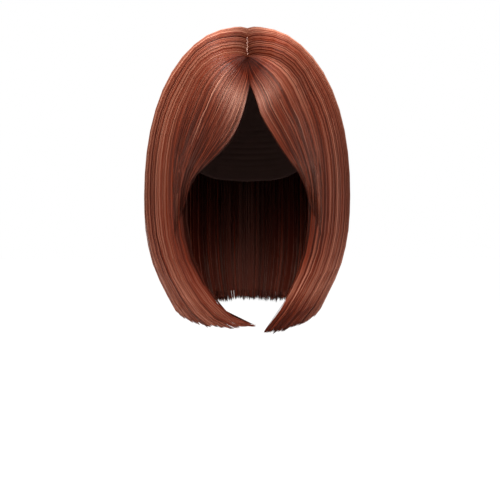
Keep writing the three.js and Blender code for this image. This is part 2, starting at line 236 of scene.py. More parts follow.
# Layers of long hair: the share of the strands, the depths that they lie between, where over the crown they
# start, how many steps they have over the crown and down the hang, and how much darker they are, as painted
# shade inside the hair
LAYERS = (
    {"share": 0.7, "from": 0.0, "to": 0.3, "start": 0.0, "crown": 12, "hang": 8, "darker": 0.0},
    {"share": 0.3, "from": 0.3, "to": 1.0, "start": 0.35, "crown": 5, "hang": 6, "darker": 0.3},
)
ROOT_STEPS = (0, 0.004, 0.014, 0.04)
CROWN_FIRST_STEP = 0.08
TIP_STEP = 0.97
FRINGE_STEPS = 16
FRINGE_STEP_POWER = 1.15

# Locks, tufts and wisps: their widths in degrees round the head or as a share of the fringe, the depth of the
# grooves between them, how far their strands draw together at the tips, and how much they differ in tone
# and length
BUNDLES = (
    {"angle": 8.0, "share": 0.2, "groove": 0.3, "gather": 0.06, "tone": 0.015, "length": 0.7},
    {"angle": 2.2, "share": 0.06, "groove": 0.3, "gather": 0.15, "tone": 0.03, "length": 0.7},
    {"angle": 0.6, "share": 0.015, "groove": 0.2, "gather": 0.15, "tone": 0.09, "length": 0.5},
)
BUNDLE_UNEVEN = 0.3
BUNDLE_WAVE = 1.9
GROOVE_POWER = 2.5
# How strands differ from their neighbours in depth, start, place and length
DEPTH_POWER = 1.3
START_RANGE = (0.8, 1.4)
WANDER_ANGLE = 0.2
WANDER_WAVES = 1.5
STRAY_ANGLE = 4
STRAY_LIFT = 0.2
UNEVEN_LENGTH = 5
UNEVEN_FACE_SHARE = 0.3
# Spans from the root at 0 to the tip at 1 over which these set in
GATHER_SPAN = (0.3, 1)
WANDER_SPAN = (0.1, 0.5)
STRAY_SPAN = (0.2, 1)
GROOVE_SPAN = (0.05, 0.5)
# The next two: painted light on the hang above the tips, and painted shade at the ends
TIP_PAINTED_LIGHT_SPAN = (0.62, 0.88)
TIP_PAINTED_SHADE_SPAN = (0.88, 0.96)
# Tone: how unlike neighbours are, its range on the map and its spread round a strand
STRAND_TONE = 0.15
TONE_RANGE = (0.02, 0.98)
TONE_SPREAD = 0.006
# Painted shade: the long hair beside the face is darker from under the fringe to above the tips
FACE_SHADE = 0.26
FACE_SHADE_REACH = 15
FACE_SHADE_STARTS = (0.25, 0.5)
FACE_SHADE_ENDS = (0.68, 0.9)
# Form of a strand: its radius at the root and tip as a share, and how far its normals lean outwards, in the
# outer layer and above the tips
CORNERS = 3
RADIUS_RANGE = (0.75, 1.2)
ROOT_RADIUS = 0.7
ROOT_RADIUS_REACH = 0.15
TAPER_FROM = 0.75
TIP_RADIUS = 0.6
FRINGE_TIP_RADIUS = 0.2
NORMAL_LEAN = 1.4
LEAN_DEPTHS = (0.3, 0.6)
LEAN_ENDS = (0.85, 0.97)

# Dark layers inside the hair, as painted shade of its depths: their columns and rows, where they start and
# end, and the depths of their faces
SHELL_COLUMNS = 30
SHELL_CROWN_ROWS = 16
SHELL_HANG_ROWS = 10
SHELL_START = 0.06
SHELL_FACE_REACH = 30
SHELL_DEPTHS = (0.5, 0.8)
FRINGE_SHELL_COLUMNS = 20
FRINGE_SHELL_ROWS = 24
FRINGE_SHELL_ACROSS = (0.03, 0.97)
FRINGE_SHELL_ALONG = (0.03, 0.86)
FRINGE_SHELL_DEPTHS = (0.7, 0.95)

HAIR_MATERIAL = "auburn_hair"
# Share of the crown's colour that the hair shows at its roots, from darker roots and painted shade at the
# part
ROOT_DARK = 0.3

# Lights: where each stands, its width and height in metres, the setting of its power and its share of that
LIGHTS = {
    "key_light": ((-0.1, -1.5, 0.6), (1.5, 0.4), "key_power", 1.0),
    "top_light": ((-0.12, 0.1, 1.4), (1.2, 1.2), "top_power", 1.0),
    "right_light": ((-1.4, -0.5, -0.3), (0.8, 0.8), "side_power", 0.6),
    "left_light": ((1.4, -0.5, -0.3), (0.8, 0.8), "side_power", 1.0),
}
FLOOR_REACH = 40


def ease(x, start, end):
    """Smooth step: 0 before start, 1 after end, and 3s^2 - 2s^3 of the share s between them."""
    share = np.clip((x - start) / (end - start), 0, 1)
    return share * share * (3 - 2 * share)


def between(a, b, share):
    """The value at a share of the way from a to b."""
    return a + (b - a) * share


def signed_power(x, power):
    """|x| to a power, with the sign of x."""
    return np.sign(x) * np.abs(x) ** power


def length_of(vectors):
    """Lengths of the vectors in the last axis, kept as an axis of one."""
    return np.linalg.norm(vectors, axis=-1, keepdims=True)


def unit(vectors):
    """The vectors in the last axis, made one long."""
    return vectors / np.maximum(length_of(vectors), TINY)


def bell(x, width):
    """Bell curve: 1 at 0, and e to the power of minus the square of x in widths elsewhere."""
    return np.exp(-((x / width) ** 2))


def column_curve(table, against, value):
    """A cubic through one column of a table, read against another column.

    Between two rows it has the values and slopes of both. The slope at a row is the mean slope of the
    stretches on its two sides, and the end rows' values hold beyond.
    """
    knots = np.array(table[against], float)
    values = np.array(table[value], float)
    stretch = np.diff(values) / np.diff(knots)
    slopes = np.concatenate((stretch[:1], (stretch[1:] + stretch[:-1]) / 2, stretch[-1:]))

    def at(x):
        x = np.clip(x, knots[0], knots[-1])
        row = np.clip(np.searchsorted(knots, x, side="right") - 1, 0, len(knots) - 2)
        width = knots[row + 1] - knots[row]
        s = (x - knots[row]) / width
        start = (1 + 2 * s) * (1 - s) ** 2 * values[row] + s * (1 - s) ** 2 * width * slopes[row]
        end = s * s * (3 - 2 * s) * values[row + 1] - s * s * (1 - s) * width * slopes[row + 1]
        return start + end

    return at


def table_curves(table, against):
    """Curves through all the other columns of a table, read against one column."""
    return {column: column_curve(table, against, column) for column in table if column != against}


rim_curve = table_curves(CAP_RIM, "bearing")
strand_curve = table_curves(STRANDS, "fall")
tip_curve = {side: table_curves(tips, "fall") for side, tips in TIPS.items()}
level_curve = table_curves(LEVELS, "drop")
face_edge = table_curves(FACE_EDGE, "drop")


def quarter_arc(power, turn):
    """A quarter of a unit superellipse: (out, up) from straight up at turn 0 to straight out at turn 1."""
    along = np.sin(turn * 90 * DEGREE)
    rise = np.abs(np.cos(turn * 90 * DEGREE))
    size = (along**power + rise**power) ** (1 / power)
    return along / size, rise / size


def tuck_at(y, z):
    """Share of its depth that the cap keeps: its back tucks in by the square of the way below the dome."""
    below = np.minimum(np.maximum(0, -CAP_DOME - z) / CAP_TUCK_DROP, CAP_TUCK_MOST)
    return np.where(y > 0, 1 - CAP_TUCK * below**2, 1.0)


def cap_middle(points):
    """Where a point's ray leaves the cap's middle line: at the dome's centre, or level with a lower point."""
    level = np.minimum(points[..., 2], -CAP_DOME)
    return np.stack((0 * level, 0 * level, level), -1)


def settle(points, grow, keep="on", weight=1.0):
    """Moves points along their rays from the cap's middle to the cap's outer face grown by grow.

    The face is a superellipsoid over a straight wall: the reach of a point is 1 on it.
    keep "outside" moves only points inside that face, and keep "inside" only points outside it.
    """
    x, y, z = np.moveaxis(points, -1, 0)
    outer = CAP_WALL + grow
    across = np.abs(x / (CAP_HALF_WIDTH + outer)) ** CAP_PLAN_POWER
    ahead = np.abs(y / ((CAP_HALF_DEPTH + outer) * tuck_at(y, z))) ** CAP_PLAN_POWER
    rise = np.maximum(0, z + CAP_DOME) / (CAP_DOME + outer)
    plan = (across + ahead) ** (CAP_SECTION_POWER / CAP_PLAN_POWER)
    reach = (plan + rise**CAP_SECTION_POWER) ** (1 / CAP_SECTION_POWER)
    scale = 1 / np.maximum(reach, TINY)
    if keep == "outside":
        scale = np.maximum(scale, 1)
    if keep == "inside":
        scale = np.minimum(scale, 1)
    middle = cap_middle(points)
    return middle + (points - middle) * between(1, scale, weight)[..., None]


def clearance_of(points):
    """How far the cap's outer face grows to pass through points, corrected along their rays until it does."""
    middle = cap_middle(points)
    grow = np.zeros(points.shape[:-1])
    for _ in range(CLEARANCE_ROUNDS):
        grow += (length_of(points - middle) - length_of(settle(points, grow) - middle))[..., 0]
    return grow


def inward(points, distance):
    """Moves points towards the cap's middle by a distance."""
    ray = cap_middle(points) - points
    return points + ray * np.minimum(1, distance[..., None] / np.maximum(length_of(ray), TINY))


def part_height(y):
    """Height of the cap's outer face along the part: the superellipse of its middle section."""
    run = np.abs(y / (CAP_HALF_DEPTH + CAP_WALL)) ** CAP_SECTION_POWER
    return (CAP_DOME + CAP_WALL) * (1 - run) ** (1 / CAP_SECTION_POWER) - CAP_DOME


def under_fringe(points):
    """Clearance from the cap that the hair under the fringe keeps to: more to the side, most at the cheek."""
    to_side = ease(np.abs(points[..., 0]), 0, UNDER_FRINGE_REACH)
    clearance = between(ROOT_SEAT + ROOT_THICK, UNDER_FRINGE, to_side)
    return between(clearance, UNDER_FRINGE_CHEEK, ease(-points[..., 2], *CHEEK_DROPS))


def crown_top(fall, turn, root_y):
    """Outer face over the crown: a quarter superellipse from the root at the part to the widest level.

    It is dipped at the part by bell curves of the way from the root, and kept off the cap.
    """
    out, up = quarter_arc(strand_curve["fullness"](fall), turn)
    root_x = PART_HALF_GAP * (1 - ease(root_y, *PART_CLOSES))
    end_depth = np.where(fall < 0, LEVELS["front"][0], LEVELS["back"][0])
    x = between(root_x, LEVELS["half_width"][0] * np.cos(fall * DEGREE), out)
    y = between(root_y, end_depth * np.sin(fall * DEGREE), out)
    z = between(-WIDEST_DROP, part_height(root_y) + CROWN_LIFT, up)
    from_root = np.hypot(x, y - root_y)
    z -= PART_DIP * bell(from_root, PART_DIP_REACH)
    z -= CROWN_PRESS * bell(from_root, CROWN_PRESS_REACH)
    return settle(np.stack((x, y, z), -1), CROWN_CLEARANCE, "outside")


def crown_point(fall, turn):
    """Outer face over the crown, which near the face is kept under the fringe."""
    points = crown_top(fall, turn, strand_curve["root"](fall))
    covered = 1 - ease(fall, *FRINGE_COVERS)
    return settle(points, under_fringe(points), "inside", covered)


def hanging_point(side, fall, share, shorter):
    """Outer face below the widest level: the levels' ellipse, with tips that turn towards the face.

    They turn by a power of share. The fall slows down towards the tip by level, so that a tip with a level
    near 1 ends nearly flat.
    """
    tips = tip_curve[side]
    fallen = share + tips["level"](fall) * share**2 * (1 - share)
    drop = between(WIDEST_DROP, tips["drop"](fall) - shorter, fallen)
    bearing = (fall - tips["sweep"](fall) * share**CURL_POWER) * DEGREE
    depth = np.where(bearing < 0, level_curve["front"](drop), level_curve["back"](drop))
    half_width = level_curve["half_width"](drop)
    return np.stack((half_width * np.cos(bearing), depth * np.sin(bearing), -drop), -1)


def way_down(turn, share):
    """The way from root to tip, 0 to 1: by turn over the crown and then by share down the hang."""
    return np.where(share > 0, between(CROWN_SHARE, 1, share), CROWN_SHARE * turn)


def off_face(fall, reach):
    """0 at the bearing of the face's edge, eased to 1 at a reach from it."""
    return ease(fall, FACE_FALL, FACE_FALL + reach)


def hair_point(side, fall, turn, share, shorter, depth):
    """A point of the long hair. turn counts over the crown and share down the hang.

    depth is 0 on the outer face and 1 on the inner face, which lies on the cap and the strip where hair does.
    """
    hangs = share > 0
    outer = np.where(hangs[..., None], hanging_point(side, fall, share, shorter), crown_point(fall, turn))
    edge = between(FACE_EDGE_SHARE, 1, off_face(fall, FACE_EDGE_REACH))
    thick = between(HAIR_THICK, TIP_THICK, ease(share, 0, 1)) * between(1, edge, way_down(turn, share))
    points = inward(outer, depth * thick)
    on_cap = np.where(hangs, 0, 1 - ease(turn, HAIR_LEAVES_CAP, 1))
    seat = between(ROOT_SEAT, HAIR_SEAT, ease(np.abs(points[..., 0]), *SEAT_LOWERS))
    points = settle(points, seat, "outside", on_cap)
    points[..., 0] *= SIDE_SIGN[side]
    return points


def fringe_point(side, across, along, longer, depth):
    """A point of the fringe: across is 0 at the face edge and 1 beside the long hair, along is 1 at the tip.

    A strand lies between the face edge and the crown's arc from the front of the part. Its clearance goes
    from that of the hair under it, swollen by a power of half a sine wave, to the arc's. Its tip sinks in.
    """
    share = across**FRINGE_BLEND_POWER
    drop = between(-part_height(FRINGE_ROOT), FRINGE_TIP_DROP, along)
    edge = np.stack(np.broadcast_arrays(face_edge[side](drop), -float(CAP_HALF_DEPTH), -drop), -1)
    arc = crown_top(np.full_like(along, FRINGE_FALL), along, FRINGE_ROOT)
    points = between(settle(edge, 0), arc, share[..., None])
    points[..., 2] -= (FRINGE_TIP_LONGER * share + longer) * along**FRINGE_CURL_POWER
    full = between(ROOT_THICK, FRINGE_THICK, ease(along, 0, FRINGE_ROOT_REACH))
    thick = between(full, FRINGE_TIP_THICK, ease(along, FRINGE_TAPER_FROM, 1))
    swell = FRINGE_SWELL * np.sin(math.pi * along) ** FRINGE_SWELL_POWER
    near_face = under_fringe(points) + FRINGE_GAP + thick + swell
    clearance = between(near_face, clearance_of(arc), ease(across, FRINGE_LEVEL_FROM, 1))
    clearance -= FRINGE_TUCK * ease(across, FRINGE_TUCK_FROM, 1)
    clearance -= FRINGE_TIP_SINK * ease(along, FRINGE_SINK_FROM, 1)
    points = inward(settle(points, clearance), depth * thick)
    points[..., 0] *= SIDE_SIGN[side]
    return points


def away(points):
    """Unit vectors that point away from the cap's middle."""
    return unit(points - cap_middle(points))


def quads(a, b, c, d):
    """Two triangles for each four-cornered face a, b, c, d."""
    return np.concatenate((np.stack((a, b, c), -1).reshape(-1, 3), np.stack((a, c, d), -1).reshape(-1, 3)))


def dome(columns, rows):
    """Triangles of rings of points after a first point: a fan to the first ring, and bands between rings."""
    ring = np.arange(columns)
    after = (ring + 1) % columns
    low = 1 + columns * np.arange(rows - 1)[:, None]
    here, there = low + ring, low + after
    fan = np.stack((0 * ring, 1 + after, 1 + ring), -1)
    return np.concatenate((fan, quads(here, there, there + columns, here + columns)))


def with_ends(ends, rings):
    """Values of each tube in order: the first of ends, those of its rings, and the last of ends."""
    rings = rings.reshape(len(ends), -1, *ends.shape[2:])
    return np.concatenate((ends[:, :1], rings, ends[:, -1:]), axis=1)


def tubes(paths, radii, roll, lean):
    """Closed three-sided tubes along (strand, step) paths: (points, triangles, normals).

    Rings stand square to a path at its inner steps, and its ends are single points. The normals are the
    rings' spokes, which lean outwards by lean, so that strands side by side shine as one silky sheet.
    """
    strands, steps, _ = paths.shape
    tangent = unit(np.gradient(paths, axis=1))
    across = unit(np.cross(tangent, away(paths)))
    up = np.cross(across, tangent)
    angle = (roll[:, None] + np.arange(CORNERS) * 2 * math.pi / CORNERS)[:, None, :, None]
    spoke = np.cos(angle) * up[:, 1:-1, None] + np.sin(angle) * across[:, 1:-1, None]
    points = with_ends(paths, paths[:, 1:-1, None] + radii[:, 1:-1, None, None] * spoke)
    normals = with_ends(up, unit(spoke + lean[:, 1:-1, None, None] * up[:, 1:-1, None]))

    body = dome(CORNERS, steps - 2)
    last = CORNERS * (steps - 2) + 1
    # The far end is the first fan, counted back from the last point
    far_end = last - body[:CORNERS]
    shift = (last + 1) * np.arange(strands)[:, None, None]
    triangles = np.concatenate((body, far_end)) + shift
    return points.reshape(-1, 3), triangles.reshape(-1, 3), normals.reshape(-1, 3)


def ring_values(values, spread=0.0):
    """Values for each (strand, step), repeated round a tube's rings and spread a little there."""
    return with_ends(values, values[:, 1:-1, None] + spread * (np.arange(CORNERS) - 1)).ravel()


def walled(outer, inner, face, edge):
    """Closed solid of two sheets of points with like faces and a wall along their edges: (points, triangles).

    The triangles are turned round if the volume that they enclose is negative.
    """
    sheet = len(outer)
    after = np.roll(edge, -1)
    wall = quads(after, edge, edge + sheet, after + sheet)
    points = np.concatenate((outer, inner))
    triangles = np.concatenate((face, face[:, ::-1] + sheet, wall))
    a, b, c = (points[triangles[:, i]] for i in range(3))
    if np.sum(a * np.cross(b, c)) < 0:
        triangles = triangles[:, ::-1]
    return points, triangles


def slab(outer, inner):
    """Closed solid between two (row, column) sheets of points."""
    rows, columns, _ = outer.shape
    index = np.arange(rows * columns).reshape(rows, columns)
    face = quads(index[:-1, :-1], index[:-1, 1:], index[1:, 1:], index[1:, :-1])
    edge = np.concatenate((index[0, :-1], index[:-1, -1], index[-1, :0:-1], index[:0:-1, 0]))
    return walled(outer.reshape(-1, 3), inner.reshape(-1, 3), face, edge)


def joined(parts):
    """One (points, triangles, values, normals) from several."""
    points, triangles, values, normals = zip(*parts)
    starts = np.cumsum([0] + [len(places) for places in points[:-1]])
    faces = np.concatenate([corners + start for corners, start in zip(triangles, starts)])
    return np.concatenate(points), faces, np.concatenate(values), np.concatenate(normals)


def add_object(name, data):
    """An object of some data, put in the scene."""
    added = bpy.data.objects.new(name, data)
    bpy.context.scene.collection.objects.link(added)
    return added


def add_piece(name, shape, map_name, material, node):
    """A mesh of triangles in place of a solid, with a UV map of its values, and normals if it has its own."""
    points, triangles, values, *normals = shape
    mesh = bpy.data.meshes.new(name)
    mesh.from_pydata((points * MM).tolist(), [], triangles.tolist(), shade_flat=False)
    uv = values[triangles.ravel()].astype(np.float32).ravel()
    for layer in (map_name, "OFBake"):
        mesh.uv_layers.new(name=layer).uv.foreach_set("vector", uv)
    if normals:
        mesh.normals_split_custom_set_from_vertices(normals[0])
    mesh.materials.append(material)
    piece = add_object(name, mesh)
    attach(piece, "root")
    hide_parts(node)


def strand_shape(paths, tone, along, depth, radius, tip, rng, length=1.0):
    """Tubes along paths that swell from the root and taper to a share of their radius at the tip.

    Their values are the tone and the way along, scaled by their length.
    """
    swell = between(ROOT_RADIUS, 1, ease(along, 0, ROOT_RADIUS_REACH))
    swell *= between(1, tip, ease(along, TAPER_FROM, 1))
    size = radius * rng.uniform(*RADIUS_RANGE, len(paths))
    roll = rng.uniform(0, 2 * math.pi, len(paths))
    lean = NORMAL_LEAN * (1 - ease(depth, *LEAN_DEPTHS))[:, None] * (1 - ease(along, *LEAN_ENDS))
    points, triangles, normals = tubes(paths, size[:, None] * swell, roll, lean)
    shades = ring_values(np.clip(tone, *TONE_RANGE), TONE_SPREAD)
    return points, triangles, np.stack((shades, ring_values(along * length)), -1), normals


def shell_shape(outer, inner, tone, along):
    """A closed layer inside a panel of hair, so that no light passes between its strands, dark as painted
    shade.
    """
    points, triangles = slab(outer, inner)
    values = np.stack((np.full(len(points), tone), np.tile(along.ravel(), 2)), -1)
    normals = np.concatenate((away(outer).reshape(-1, 3), -away(inner).reshape(-1, 3)))
    return points, triangles, values, normals


def bundled(rng, place, size, drawn):
    """Draws strands together in uneven bundles of several sizes, as far as drawn says at each step.

    place is one number a strand, and size names the bundles' width, which a sine wave makes uneven. Grooves
    are a power of the way from a bundle's middle. Returns the places at each step, and the groove, tone and
    length that the bundles add.
    """
    steps = np.repeat(place[:, None], drawn.shape[1], axis=1)
    groove, tone, length = (np.zeros(len(place)) for _ in range(3))
    for bundle in BUNDLES:
        width = bundle[size]
        phase = place / width + BUNDLE_UNEVEN * np.sin(place / width * BUNDLE_WAVE) + rng.random()
        cell = np.floor(phase).astype(int)
        offset = phase - cell - 0.5
        cell -= cell.min()
        draw = rng.normal(size=cell.max() + 1)[cell]
        steps -= bundle["gather"] * width * offset[:, None] * drawn
        groove += bundle["groove"] * np.abs(2 * offset) ** GROOVE_POWER
        tone += bundle["tone"] * draw
        length += bundle["length"] * draw
    return steps, groove, tone, length


def wander(rng, way, waves):
    """How strands stray sideways on their way: a sine wave of a random size and phase for each."""
    size = rng.normal(size=(len(way), 1))
    phase = rng.random((len(way), 1))
    return size * np.sin(2 * math.pi * (way * waves + phase)) * ease(way, *WANDER_SPAN)


def zigzag(y):
    """Sideways shift of the part line along the head: two sine waves of unlike length."""
    waves = np.sin(y * PART_WAVE) + PART_RIPPLE_SHARE * np.sin(y * PART_RIPPLE + 1)
    return PART_ZIGZAG * waves / (1 + PART_RIPPLE_SHARE)


def long_strands(rng, side, first, last, count, layer, hair):
    """Strands of one layer of long hair between two bearings, drawn together in bundles to their tips."""
    count = int(count * layer["share"])
    fall = between(first, last, (rng.permutation(count) + rng.random(count)) / count)
    depth = between(layer["from"], layer["to"], rng.random(count) ** DEPTH_POWER)
    start = layer["start"] * rng.uniform(*START_RANGE, (count, 1))
    roots = ROOT_STEPS if layer["start"] == 0 else (0,)
    crown = np.concatenate((roots, np.linspace(CROWN_FIRST_STEP, 1, layer["crown"])))
    hang = np.append(np.linspace(0, TIP_STEP, layer["hang"])[1:], 1)
    turn = between(start, 1, np.concatenate((crown, np.ones(len(hang)))))
    share = np.broadcast_to(np.concatenate((0 * crown, hang)), turn.shape)
    progress = way_down(turn, share)

    place, groove, tone, length = bundled(rng, fall, "angle", ease(progress, *GATHER_SPAN))
    place += WANDER_ANGLE * wander(rng, progress, WANDER_WAVES)
    stray = (rng.random((count, 1)) < hair.stray_share) * ease(progress, *STRAY_SPAN)
    place += stray * rng.normal(size=(count, 1)) * STRAY_ANGLE
    sunk = depth[:, None] + groove[:, None] / HAIR_THICK * ease(progress, *GROOVE_SPAN)
    at_root = bell(turn, ROOT_REACH)
    sunk = (np.minimum(sunk, 1) - stray * rng.random((count, 1)) * STRAY_LIFT) * (1 - at_root)
    shorter = length + UNEVEN_LENGTH * rng.random(count) ** 2 + hair.inner_shorter / MM * depth
    shorter *= between(UNEVEN_FACE_SHARE, 1, off_face(fall, FACE_EDGE_REACH))
    paths = hair_point(side, np.clip(place, first, last), turn, share, shorter[:, None], sunk)

    paths = inward(paths, (CROWN_CLEARANCE - STRIP_SEAT) * at_root)
    across_part = SIDE_SIGN[side] * PART_CROSS * depth / layer["to"]
    paths[..., 0] += (zigzag(strand_curve["root"](fall)) - across_part)[:, None] * at_root
    # Tone: by fall, with painted light near the ear; by bundle and strand at random; less in the inner layer,
    # as painted shade inside the hair
    tone = strand_curve["tone"](fall) + tone + STRAND_TONE * rng.normal(size=count) - layer["darker"]
    # Painted shade on the hair beside the face, from under the fringe to above the tips
    shade = FACE_SHADE * (1 - off_face(fall, FACE_SHADE_REACH))
    shaded = ease(progress, *FACE_SHADE_STARTS) * (1 - ease(progress, *FACE_SHADE_ENDS))
    tone = tone[:, None] - shade[:, None] * shaded
    # Painted light on the hang above the tips, and painted shade at the ends where they turn in
    tone += tip_curve[side]["tone"](fall)[:, None] * ease(progress, *TIP_PAINTED_LIGHT_SPAN)
    tone -= tip_curve[side]["dark"](fall)[:, None] * ease(progress, *TIP_PAINTED_SHADE_SPAN)
    return strand_shape(paths, tone, progress, depth, hair.strand_radius / MM, TIP_RADIUS, rng)


def long_shell(side, first, last, hair):
    """The dark layer of painted shade inside a panel of long hair. It stops above the tips, and sooner near
    the face.
    """
    crown = np.linspace(SHELL_START, 1, SHELL_CROWN_ROWS)
    hang = np.linspace(0, 1, SHELL_HANG_ROWS + 1)[1:]
    bearings = np.linspace(first, last, SHELL_COLUMNS)
    fall, turn = np.meshgrid(bearings, np.append(crown, np.ones(SHELL_HANG_ROWS)), indexing="ij")
    end = between(hair.shell_end, hair.shell_face_end, 1 - off_face(fall, SHELL_FACE_REACH))
    share = np.append(0 * crown, hang) * end
    outer, inner = (hair_point(side, fall, turn, share, 0, depth) for depth in SHELL_DEPTHS)
    return shell_shape(outer, inner, hair.shell_shade_tone, way_down(turn, share))


def seeded(hair, group, side):
    """Random draws of its own for each group of pieces and side."""
    return np.random.default_rng((hair.seed, group, list(SIDE_SIGN).index(side)))


def long_panel(name, side, hair):
    """The dark layer and the layers of strands of a panel of long hair on one side, to be joined."""
    panel = PANELS[name]
    rng = seeded(hair, panel["seed"], side)
    count = getattr(hair, name + "_strands")
    strands = [long_strands(rng, side, *panel["strands"], count, layer, hair) for layer in LAYERS]
    return [long_shell(side, *panel["shell"], hair), *strands]


def fringe_strands(rng, side, count, hair):
    """Strands of one half of the fringe, which fan out from the front of the part to uneven lengths."""
    across = (rng.permutation(count) + rng.random(count)) / count
    depth = rng.random(count) ** DEPTH_POWER
    along = np.append(np.linspace(0, TIP_STEP, FRINGE_STEPS - 1) ** FRINGE_STEP_POWER, 1)
    along = np.broadcast_to(along, (count, FRINGE_STEPS))
    place, groove, tone, length = bundled(rng, across, "share", ease(along, *GATHER_SPAN))
    place = np.clip(place + FRINGE_WANDER * wander(rng, along, FRINGE_WANDER_WAVES), 0, 1)
    groove *= FRINGE_GROOVE / FRINGE_THICK
    sunk = np.minimum(depth[:, None] + groove[:, None] * ease(along, *GROOVE_SPAN), 1)
    feather = sum(ease(across, *span) for span in FEATHER_SPANS)
    longer = hair.fringe_feather / MM * rng.uniform(*FEATHER_RANGE, count) * feather - length
    paths = fringe_point(side, place, along, longer[:, None], sunk)
    paths = inward(paths, FRINGE_ROOT_SINK * bell(along, FRINGE_ROOT_SINK_REACH))
    # Painted shade on the inner strands and low down, and darker roots with painted shade beside the face
    tone += FRINGE_TONE + FRINGE_OUTER_LIGHT * across - FRINGE_INNER_SHADE * depth
    tone += FRINGE_STREAK * rng.normal(size=count)
    dark = hair.fringe_root_dark_and_shade * (1 - ease(across, *FRINGE_DARK_ACROSS))
    tone = tone[:, None] - dark[:, None] * (1 - ease(along, *FRINGE_DARK_ENDS))
    tone -= FRINGE_LOWER_SHADE * ease(along, *FRINGE_LOWER_SHADE_SPAN)
    radius = hair.strand_radius / MM
    return strand_shape(paths, tone, along, depth, radius, FRINGE_TIP_RADIUS, rng, FRINGE_LENGTH)


def fringe_shell(side, hair):
    """The dark layer of painted shade inside one half of the fringe."""
    columns = np.linspace(*FRINGE_SHELL_ACROSS, FRINGE_SHELL_COLUMNS)
    rows = np.linspace(*FRINGE_SHELL_ALONG, FRINGE_SHELL_ROWS)
    across, along = np.meshgrid(columns, rows, indexing="ij")
    outer, inner = (fringe_point(side, across, along, 0, depth) for depth in FRINGE_SHELL_DEPTHS)
    return shell_shape(outer, inner, hair.shell_shade_tone, along * FRINGE_LENGTH)


def cap_point(bearing, turn, grow):
    """A point of the cap's outer face grown by grow: turn is 0 at the top and 1 at the widest level."""
    out, up = quarter_arc(CAP_SECTION_POWER, np.minimum(turn, 1))
    outer = CAP_WALL + grow
    z = (CAP_DOME + outer) * up - CAP_DOME - np.maximum(0, turn - 1) * CAP_DOME
    x = (CAP_HALF_WIDTH + outer) * signed_power(np.sin(bearing * DEGREE), 2 / CAP_PLAN_POWER)
    y = -(CAP_HALF_DEPTH + outer) * signed_power(np.cos(bearing * DEGREE), 2 / CAP_PLAN_POWER)
    return np.stack((x * out, y * out * tuck_at(y, z), z), -1)


def turn_at_drop(drop):
    """The turn of cap_point at which the cap reaches a drop below the origin."""
    up = np.clip((CAP_DOME - drop) / (CAP_DOME + CAP_WALL), 0, 1)
    out = (1 - up**CAP_SECTION_POWER) ** (1 / CAP_SECTION_POWER)
    below = np.maximum(0, drop - CAP_DOME) / CAP_DOME
    return np.arctan2(out, up) / (90 * DEGREE) + below


def cap_shape(cap):
    """The cap's two faces as rings from the top to the rim, joined there, with weft rows raised inside.

    The rows are bell curves of the way up from the rim. Values are the way round in turns of the head and
    the way up from the rim as a share of the map's height.
    """
    bearing = np.linspace(0, 360, CAP_COLUMNS, endpoint=False)[None, :]
    end = turn_at_drop(rim_curve["drop"](np.minimum(bearing, 360 - bearing)))
    row = np.linspace(0, 1, CAP_ROWS + 1)[1:, None]
    turn = row * end
    up_from_rim = (1 - row) * end * 90 * DEGREE * CAP_DOME
    band_width = cap.band_width / MM
    band = 1 - ease(up_from_rim, band_width * BAND_STEP_FROM, band_width)
    weft_phase = up_from_rim / (cap.weft_spacing / MM) % 1
    weft = bell(weft_phase - 0.5, WEFT_WIDTH) * (1 - band)
    thick_inside = BAND_THICK * band + cap.weft_height / MM * weft
    top = np.zeros(1)
    outer = np.concatenate((cap_point(top, top, 0), cap_point(bearing, turn, 0).reshape(-1, 3)))
    inside = cap_point(bearing, turn, -CAP_WALL - thick_inside).reshape(-1, 3)
    inner = np.concatenate((cap_point(top, top, -CAP_WALL), inside))
    rim = CAP_COLUMNS * CAP_ROWS - np.arange(CAP_COLUMNS)
    points, triangles = walled(outer, inner, dome(CAP_COLUMNS, CAP_ROWS), rim)
    around = np.broadcast_to(bearing / 360, turn.shape).ravel()
    height = (up_from_rim / CAP_MAP_HEIGHT).ravel()
    one = np.concatenate((np.array([[0.5, 1.0]]), np.stack((around, height), -1)))
    return points, triangles, np.concatenate((one, one))


def strip_shape():
    """The part strip: a thin band set on the cap, with values across and along it."""
    columns = np.linspace(-STRIP_HALF_WIDTH, STRIP_HALF_WIDTH, STRIP_COLUMNS + 1)
    x, y = np.meshgrid(columns, np.linspace(STRIP_FRONT, STRIP_BACK, STRIP_ROWS + 1))
    base = np.stack((x, y, part_height(y)), -1)
    points, triangles = slab(settle(base, STRIP_SEAT), settle(base, SEAT_GAP))
    values = np.stack((x / STRIP_HALF_WIDTH / 2 + 0.5, (y - STRIP_FRONT) / (STRIP_BACK - STRIP_FRONT)), -1)
    return points, triangles, np.tile(values.reshape(-1, 2), (2, 1))


def new_material(name):
    """A material with one Principled shader: (material, node tree, shader)."""
    material = bpy.data.materials.new(name)
    material.use_nodes = True
    return material, material.node_tree, material.node_tree.nodes["Principled BSDF"]


def feed(tree, node, inputs):
    """Gives a node its inputs by name: a socket is linked, and anything else is set as a value."""
    for name, value in inputs.items():
        if isinstance(value, bpy.types.NodeSocket):
            tree.links.new(value, node.inputs[name])
        else:
            node.inputs[name].default_value = value


def add_node(tree, kind, inputs, **options):
    """A shader node of a kind, with its options and inputs."""
    node = tree.nodes.new("ShaderNode" + kind)
    for name, value in options.items():
        setattr(node, name, value)
    feed(tree, node, inputs)
    return node


def ramp_colour(tree, value, stops):
    """The colour that a ramp with stops of (position, colour) has at a value, as a socket."""
    ramp = add_node(tree, "ValToRGB", {"Fac": value})
    elements = ramp.color_ramp.elements
    while len(elements) < len(stops):
        elements.new(1.0)
    for element, (position, colour) in zip(elements, stops):
        element.position = position
        element.color = (*colour, 1.0)
    return ramp.outputs["Color"]


def grey(level):
    """A colour of one level in all its channels."""
    return (level,) * 3


